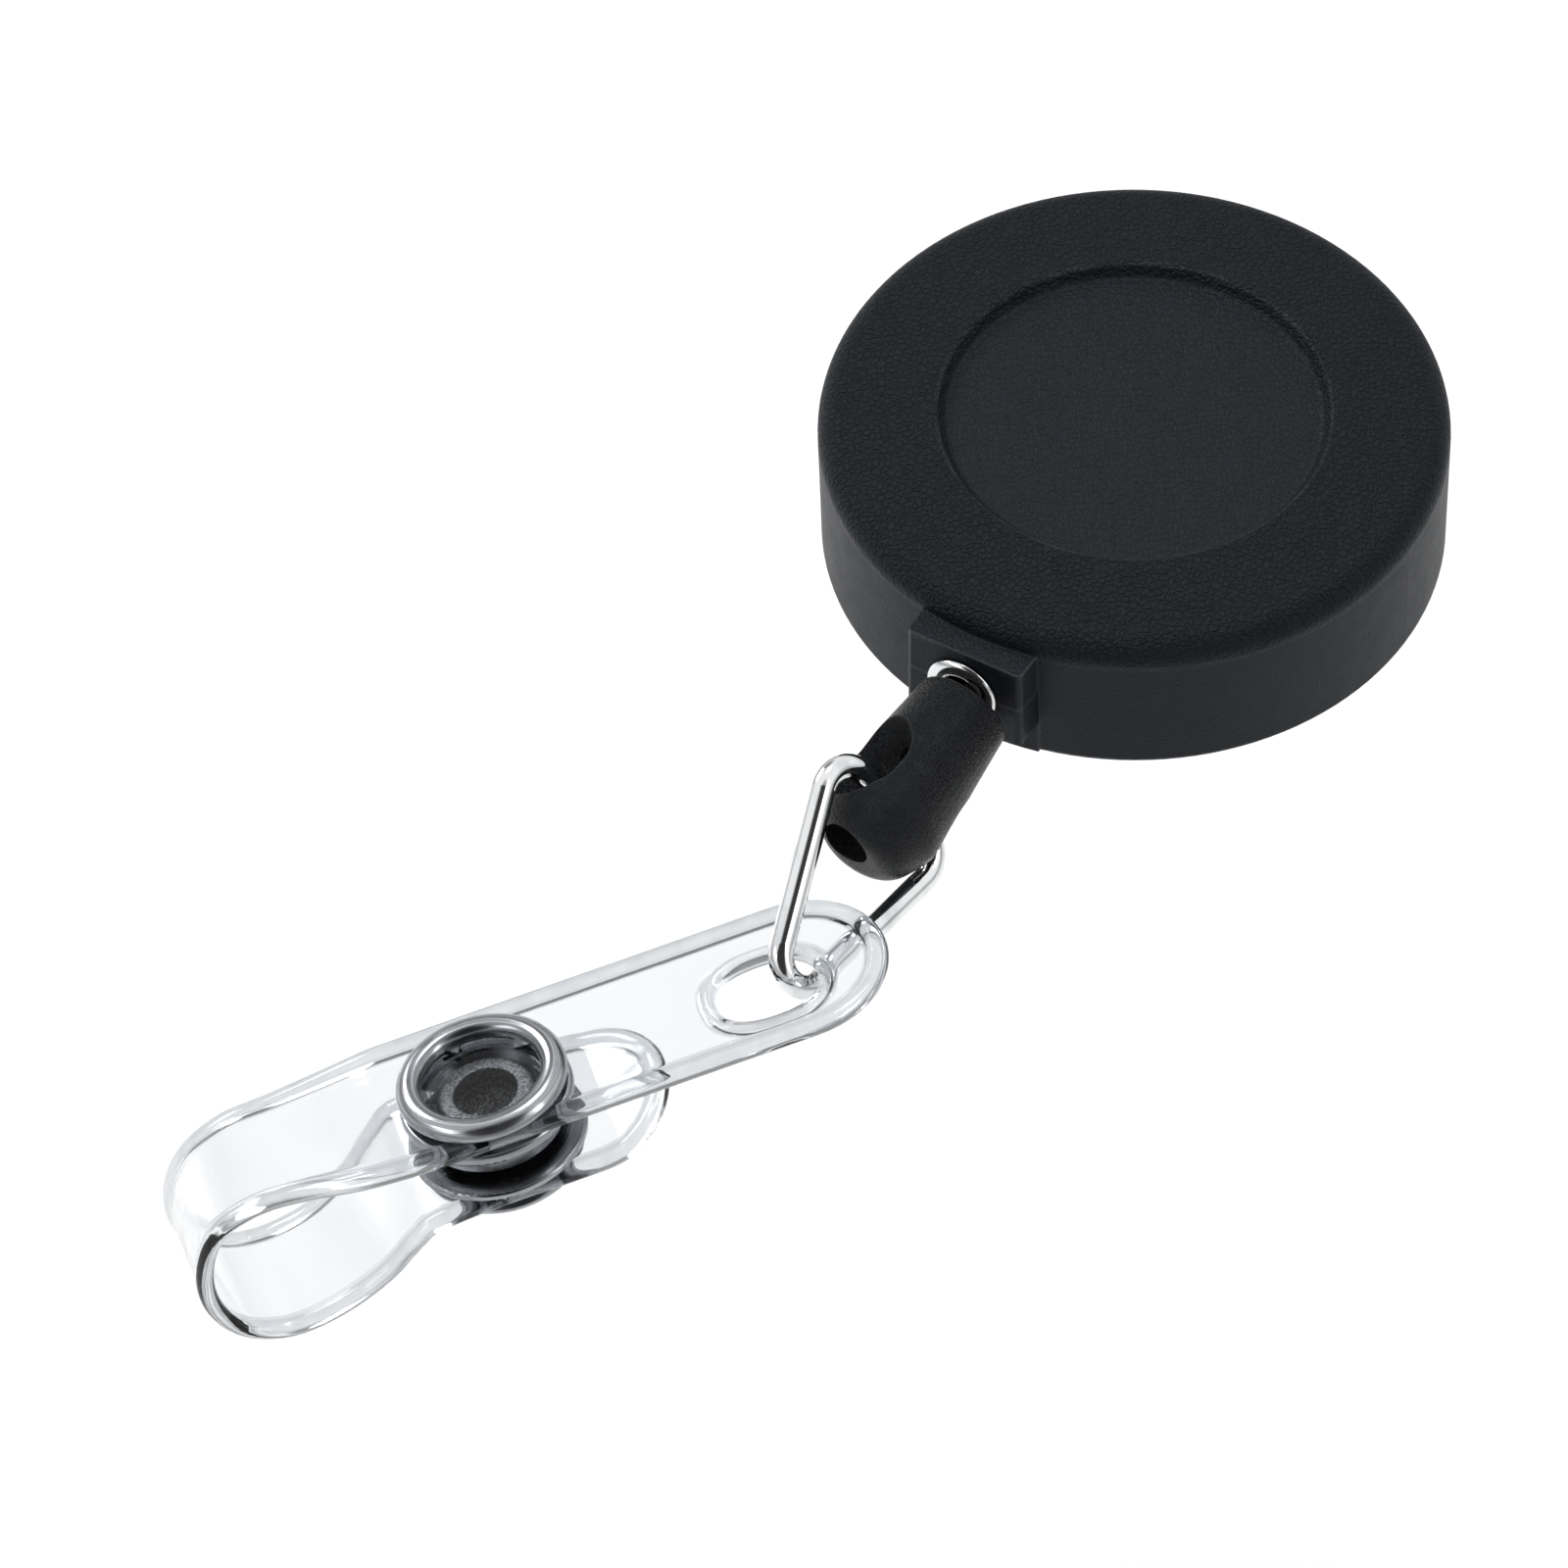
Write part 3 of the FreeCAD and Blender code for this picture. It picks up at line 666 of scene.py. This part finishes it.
    def connect(self, **sockets):
        names = {"colour": "Base Color", "roughness": "Roughness", "normal": "Normal"}
        for name, socket in sockets.items():
            self.tree.links.new(socket, self.shader.inputs[names[name]])
        return self.material


def housing_plastic():
    """Near-black moulding: leathery grain on the face, smoother label floor, satin sides."""
    m = Material("housing_plastic")
    m.shader.inputs["Specular IOR Level"].default_value = 0.17
    m.shader.inputs["Specular Tint"].default_value = (0.80, 0.91, 1.0, 1)
    z = m.separate()["Z"]
    radius = m.from_axis((0, 0, 0), (0, 0, 1))
    on_face = m.remap(z, -1.3 * MM, -0.2 * MM, 0.0, 1.0)
    outside_label = m.remap(radius, 9.6, 9.9, 0.35, 1.0)
    # painted highlight along the label recess's raised rim, broken up by noise; it also stands for rub
    # marks and is made glossier
    label_rim_highlight = m.math("MULTIPLY", m.peak(radius, 9.98, 0.16),
                        m.remap(z, 0.3 * MM, 0.55 * MM, 0.0, 1.0))
    rub_marks_and_highlight = m.math("MULTIPLY", label_rim_highlight, m.remap(m.noise(2.5, 3), 0.35, 0.6, 0.2, 1.0))
    grain = m.math("ADD", m.cells(0.36), m.math("MULTIPLY", m.noise(0.16, 4), 1.6))
    strength = m.math("MULTIPLY", on_face, outside_label)
    faint = m.math("MULTIPLY", m.noise(0.14, 3), 0.4)
    height = m.math("ADD", m.math("MULTIPLY", grain, strength), faint)
    # sharp edges and the label's rim are painted lighter, partly as worn edges and partly as a painted
    # highlight
    scuffs_and_highlight = m.math("MAXIMUM", m.math("MULTIPLY", m.sharp_edge_mask(0.25), 0.4),
                  m.math("MULTIPLY", rub_marks_and_highlight, 0.3))
    dark = m.blend(m.noise(3.5, 3), (0.0048, 0.0056, 0.0078), (0.0075, 0.0085, 0.0112))
    colour = m.blend(scuffs_and_highlight, dark, (0.10, 0.105, 0.115))
    roughness = m.math("ADD", m.remap(m.noise(1.2, 4), 0.3, 0.7, 0.44, 0.49),
                       m.math("MULTIPLY", strength, 0.08))
    roughness = m.math("SUBTRACT", roughness, m.math("MULTIPLY", rub_marks_and_highlight, 0.2))
    return m.connect(colour=colour, roughness=roughness, normal=m.bump(height, 0.08, 0.95))


def barrel_plastic():
    """Near-black moulding with a fine sandy grain."""
    m = Material("barrel_plastic")
    m.shader.inputs["Specular IOR Level"].default_value = 0.20
    m.shader.inputs["Specular Tint"].default_value = (0.88, 0.95, 1.0, 1)
    # sharp edges are painted lighter, partly as worn edges and partly as a painted highlight, such as
    # the cross-hole's bright rim
    scuffs_and_highlight = m.sharp_edge_mask(0.2)
    dark = m.blend(m.noise(2.0, 3), (0.004, 0.0043, 0.005), (0.007, 0.0073, 0.0085))
    colour = m.blend(m.math("MULTIPLY", scuffs_and_highlight, 0.4), dark, (0.06, 0.062, 0.066))
    height = m.math("ADD", m.math("MULTIPLY", m.cells(0.17), 0.7),
                    m.math("MULTIPLY", m.noise(0.1, 3), 1.6))
    roughness = m.remap(m.noise(0.8, 4), 0.3, 0.7, 0.20, 0.27)
    return m.connect(colour=colour, roughness=roughness, normal=m.bump(height, 0.07, 0.95))


def plated_metal(name, tint, low, high, tarnish=(0.3, 0.31, 0.33)):
    """Bright plating with hairline scratches, cloudy patches and a duller film in places."""
    m = Material(name, metallic=1.0)
    cloud = m.noise(1.6, 5)
    scratches = m.noise(0.08, 2, stretch=(1, 0.08, 1))
    film = m.math("MULTIPLY", m.remap(cloud, 0.52, 0.72, 0.0, 1.0), 0.35)
    colour = m.blend(film, tint, tarnish)
    roughness = m.math("ADD", m.remap(cloud, 0.3, 0.7, low, high),
                       m.math("MULTIPLY", m.remap(scratches, 0.6, 0.75, 0.0, 1.0), 0.06))
    return m.connect(colour=colour, roughness=roughness, normal=m.bump(scratches, 0.002, 0.25))


def snap_nickel():
    """Dull nickel with turned rings, partly painted reflection bands; painted shade darkens the ring's
    inner wall and the socket's inside, which is sandy.
    """
    m = Material("snap_nickel", metallic=1.0)
    radius = m.from_axis(on_snap.origin, on_snap.up)
    # lighter and darker rings round the axis: partly turned rings, partly painted reflection bands
    rings_and_reflection_bands = m.node("ShaderNodeTexNoise", {"W": radius, "Scale": 5.0, "Detail": 3.0},
                     noise_dimensions="1D").outputs["Fac"]
    sand = m.noise(0.13, 4)
    cloud = m.noise(1.3, 5)
    # painted shade: within the socket's hole the nickel is painted near black
    hole = m.remap(radius, 1.45, 1.7, 1.0, 0.0)
    frosted = m.remap(radius, 2.35, 2.6, 1.0, 0.0)
    # painted shade: the ring's inner wall is painted darker
    inner_wall = m.math("MULTIPLY", m.remap(radius, 3.05, 3.28, 1.0, 0.0), 0.55)
    # the plating colour follows those rings, so it carries the painted reflection bands
    plate = m.blend(m.remap(rings_and_reflection_bands, 0.35, 0.65, 0.0, 1.0), (0.24, 0.252, 0.272), (0.48, 0.49, 0.51))
    worn = m.blend(m.math("MULTIPLY", m.remap(cloud, 0.5, 0.7, 0.0, 1.0), 0.4), plate,
                   (0.24, 0.25, 0.27))
    shaded = m.blend(inner_wall, worn, (0.10, 0.105, 0.115))
    speckled = m.blend(m.remap(sand, 0.4, 0.6, 0.0, 1.0), (0.09, 0.093, 0.10), (0.36, 0.37, 0.38))
    dusted = m.blend(m.math("MULTIPLY", frosted, 0.85), shaded, speckled)
    # the hole's painted shade, speckled with the sand
    painted_hole_shade = m.blend(m.remap(sand, 0.45, 0.65, 0.0, 1.0), (0.003, 0.003, 0.0035), (0.11, 0.112, 0.115))
    colour = m.blend(hole, dusted, painted_hole_shade)
    roughness = m.math("ADD", m.remap(cloud, 0.3, 0.7, 0.16, 0.28),
                       m.math("MULTIPLY", frosted, 0.25))
    height = m.math("ADD", m.math("MULTIPLY", rings_and_reflection_bands, 0.5), m.math("MULTIPLY", sand, frosted))
    return m.connect(colour=colour, roughness=roughness, normal=m.bump(height, 0.03, 0.5))


def spring_steel():
    """Blued spring strip with drawing lines."""
    m = Material("spring_steel", metallic=1.0)
    lines = m.noise(0.12, 3, stretch=(1, 1, 0.05))
    colour = m.blend(m.noise(2.5, 4), (0.16, 0.18, 0.23), (0.32, 0.33, 0.35))
    roughness = m.remap(lines, 0.3, 0.7, 0.22, 0.38)
    return m.connect(colour=colour, roughness=roughness, normal=m.bump(lines, 0.004, 0.4))


def natural_plastic(name, light, shade):
    """Uncoloured moulded plastic of the hidden parts."""
    m = Material(name)
    colour = m.blend(m.noise(2.2, 4), light, shade)
    roughness = m.remap(m.noise(0.6, 4), 0.3, 0.7, 0.35, 0.5)
    return m.connect(colour=colour, roughness=roughness, normal=m.bump(m.noise(0.15, 3), 0.01, 0.3))


def braided_nylon():
    """Waxed black cord: a slanting plait with fine fibres."""
    m = Material("braided_nylon")
    place = m.separate()
    slant = m.math("ADD", m.math("MULTIPLY", place["Y"], 5200.0), m.math("MULTIPLY", place["Z"], 4200.0))
    weave = m.math("SINE", slant)
    fibre = m.noise(0.05, 3, stretch=(1, 0.3, 1))
    colour = m.blend(m.remap(weave, -1, 1, 0, 1), (0.008, 0.008, 0.009), (0.03, 0.031, 0.034))
    roughness = m.remap(fibre, 0.3, 0.7, 0.5, 0.75)
    height = m.math("ADD", weave, m.math("MULTIPLY", fibre, 0.5))
    return m.connect(colour=colour, roughness=roughness, normal=m.bump(height, 0.03, 0.6))


def clear_vinyl():
    """Clear flexible sheet: slightly wavy, a little haze, faint rub marks, and painted grey shade bands
    along its beaded edges and round the slot.
    """
    m = Material("clear_vinyl")
    m.shader.inputs["Transmission Weight"].default_value = 1.0
    m.shader.inputs["IOR"].default_value = 1.47
    rub_marks_and_highlight = m.remap(m.noise(0.5, 5, stretch=(1, 0.35, 1)), 0.6, 0.75, 0.0, 1.0)
    clear = m.blend(m.noise(5.0, 3), (0.93, 0.942, 0.955), (0.885, 0.90, 0.92))
    outline = m.attribute("from_outline")
    slot = m.attribute("from_slot")
    # painted shade: grey bands over the beads round the edge and the slot, streaked by noise, stand in
    # for light bent at the beads
    bead = m.math("MAXIMUM", m.remap(outline, 1.0, 1.25, 1.0, 0.0), m.remap(slot, 0.6, 0.8, 1.0, 0.0))
    # painted shade: a darker line where each band meets the plain web
    line = m.math("MAXIMUM", m.peak(outline, 1.12, 0.14), m.peak(slot, 0.7, 0.12))
    streaks = m.remap(m.noise(0.9, 3, stretch=(1, 0.6, 1)), 0.3, 0.7, 0.55, 1.0)
    edge_band_shaded = m.blend(m.math("MULTIPLY", bead, streaks), clear, (0.64, 0.665, 0.69))
    colour = m.blend(m.math("MULTIPLY", line, 0.75), edge_band_shaded, (0.40, 0.42, 0.45))
    roughness = m.math("ADD", m.remap(m.noise(2.5, 4), 0.3, 0.7, 0.03, 0.07),
                       m.math("MULTIPLY", rub_marks_and_highlight, 0.05))
    return m.connect(colour=colour, roughness=roughness, normal=m.bump(m.noise(3.2, 2), 0.05, 0.35))


def plain_floor():
    """Nearly white, with the faintest cloudiness."""
    m = Material("plain_floor")
    colour = m.blend(m.noise(40, 2), (0.93, 0.93, 0.93), (0.95, 0.95, 0.95))
    return m.connect(colour=colour, roughness=m.remap(m.noise(12, 2), 0.3, 0.7, 0.55, 0.65))


def dress(material, *names):
    """Puts a material on CAD nodes."""
    for name in names:
        mesh = nodes[name].data
        for i in range(len(mesh.materials)):
            mesh.materials[i] = material
        if not mesh.materials:
            mesh.materials.append(material)


def make_object():
    nickel = snap_nickel()
    bright = plated_metal("bright_plate", (0.78, 0.79, 0.80), 0.08, 0.18)
    chrome = plated_metal("chrome_wire", (0.86, 0.87, 0.88), 0.04, 0.10)
    cord = braided_nylon()
    dress(housing_plastic(), "front_cover", "rear_cover")
    dress(barrel_plastic(), "end_barrel")
    dress(bright, "clip_rivet", "rivet_washer", "belt_clip")
    dress(chrome, "wire_ring")
    dress(nickel, "snap_socket", "snap_stud", "snap_bottom_ring")
    dress(spring_steel(), "mainspring", "spring_cover", "socket_spring")
    dress(natural_plastic("spool_plastic", (0.62, 0.62, 0.60), (0.52, 0.52, 0.50)),
          "spool", "spool_washer")
    dress(natural_plastic("washer_nylon", (0.74, 0.73, 0.69), (0.66, 0.65, 0.61)), "swivel_washer")
    dress(cord, "cord_winding", "cord_knot")
    clear_strap(clear_vinyl())
    cord_piece(cord)
    rolled_eyelet(bright)
    snap_top_ring(nickel)
    snap_prong_tips(nickel)


# ================================================================ stage
camera_back = Vector((math.sin(azimuth) * math.cos(elevation),
                      -math.cos(azimuth) * math.cos(elevation), math.sin(elevation)))
camera_right = Vector((math.cos(azimuth), math.sin(azimuth), 0))
camera_up = camera_back.cross(camera_right)
flag_direction = on_strap.up * (2 * on_strap.up.dot(camera_back)) - camera_back


def make_camera():
    """A long lens far off, so the view is almost without perspective."""
    data = bpy.data.cameras.new("camera")
    data.sensor_width = 36
    data.lens = data.sensor_width * camera_distance / frame_width
    camera = bpy.data.objects.new("camera", data)
    aim = camera_right * aim_right * MM + camera_up * aim_up * MM
    camera.location = aim + camera_back * camera_distance
    camera.rotation_mode = "QUATERNION"
    axes = Matrix((camera_right, camera_up, camera_back)).transposed()
    camera.rotation_quaternion = axes.to_quaternion()
    bpy.context.scene.collection.objects.link(camera)
    bpy.context.scene.camera = camera


def make_floor():
    level = cad_box[0].z - floor_gap * MM
    sides = ((-1, -1), (1, -1), (1, 1), (-1, 1))
    corners = [(x * floor_reach, y * floor_reach, level) for x, y in sides]
    floor = mesh_piece("floor", corners, [[0, 1, 2, 3]], plain_floor())


def area_light(name, direction, distance, size, power):
    """A rectangular lamp that looks at the middle of the object."""
    middle = (cad_box[0] + cad_box[1]) / 2
    data = bpy.data.lights.new(name, "AREA")
    data.shape = "RECTANGLE"
    data.size, data.size_y = size
    data.energy = power
    lamp = bpy.data.objects.new(name, data)
    lamp.location = middle + Vector(direction).normalized() * distance
    lamp.rotation_mode = "QUATERNION"
    lamp.rotation_quaternion = Vector(direction).to_track_quat("Z", "Y")
    bpy.context.scene.collection.objects.link(lamp)


def make_lights():
    area_light("key", (-0.85, 0.2, 0.52), 0.42, (0.17, 0.13), 0.60)
    area_light("side", (1.0, 0.1, 0.75), 0.45, (0.10, 0.30), 0.28)
    area_light("front", (-0.8, -1.0, 0.8), 0.50, (0.25, 0.12), 0.28)
    area_light("top", (-0.2, 0.34, 0.92), 0.42, (0.09, 0.09), 0.42)


def make_world():
    """White studio, dark where the photographer stands and grey towards the horizon.

    A dark flag hangs where the strap's flat face would mirror the sky, so the snap shows through.
    """
    world = bpy.data.worlds.new("studio")
    world.use_nodes = True
    tree = world.node_tree
    background = tree.nodes["Background"]
    direction = tree.nodes.new("ShaderNodeTexCoord").outputs["Generated"]

    def shade_along(axis, low, high, low_shade, high_shade):
        toward = tree.nodes.new("ShaderNodeVectorMath")
        toward.operation = "DOT_PRODUCT"
        tree.links.new(direction, toward.inputs[0])
        toward.inputs[1].default_value = axis
        shade = tree.nodes.new("ShaderNodeMapRange")
        tree.links.new(toward.outputs["Value"], shade.inputs["Value"])
        for name, value in (("From Min", low), ("From Max", high), ("To Min", low_shade),
                            ("To Max", high_shade)):
            shade.inputs[name].default_value = value
        return shade.outputs["Result"]

    photographer = shade_along(camera_back, 0.76, 0.86, 1.0, 0.04)
    horizon = shade_along((0, 0, 1), 0.05, 0.40, 0.42, 1.0)
    flag = shade_along(flag_direction, 0.94, 0.985, 1.0, 0.3)
    light = photographer
    for shade in (horizon, flag):
        both = tree.nodes.new("ShaderNodeMath")
        both.operation = "MULTIPLY"
        tree.links.new(light, both.inputs[0])
        tree.links.new(shade, both.inputs[1])
        light = both.outputs[0]
    tree.links.new(light, background.inputs["Color"])
    background.inputs["Strength"].default_value = 0.95
    bpy.context.scene.world = world


make_object()
make_camera()
make_floor()
make_lights()
make_world()
bpy.context.scene.view_settings.view_transform = "Standard"
